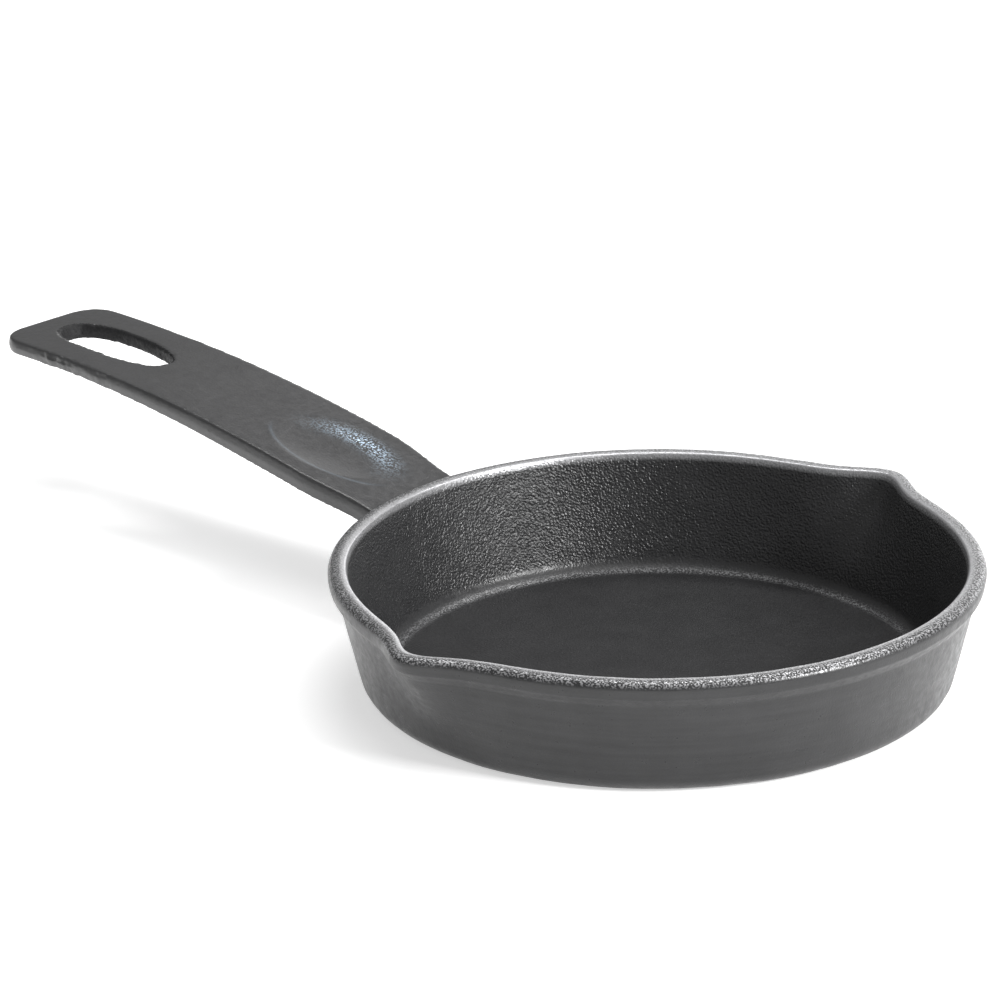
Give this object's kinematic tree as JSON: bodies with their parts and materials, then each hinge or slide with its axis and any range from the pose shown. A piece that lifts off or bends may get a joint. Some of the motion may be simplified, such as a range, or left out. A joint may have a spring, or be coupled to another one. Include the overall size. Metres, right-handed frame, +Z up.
{
  "type": "skillet",
  "caption": "Shallow round cast iron skillet with a beaded rim, two pouring lips and a long arched strap handle with a thumb rest and a hanging hole.",
  "frame": {"origin": "centre of the pan's flat base, on the surface that it stands on", "axes": "+Z up out of the bowl, handle along -X, pouring lips along -Y and +Y"},
  "size_m": [0.314, 0.1802, 0.0407],
  "materials": {
    "bowl_iron": "seasoned, pebbled sand-cast skin with a satin sheen",
    "handle_iron": "seasoned, finer sand-cast skin, satin, smoothed edges"
  },
  "bodies": {
    "root": {"pan_body": "bowl_iron", "handle": "handle_iron"}
  },
  "joints": []
}
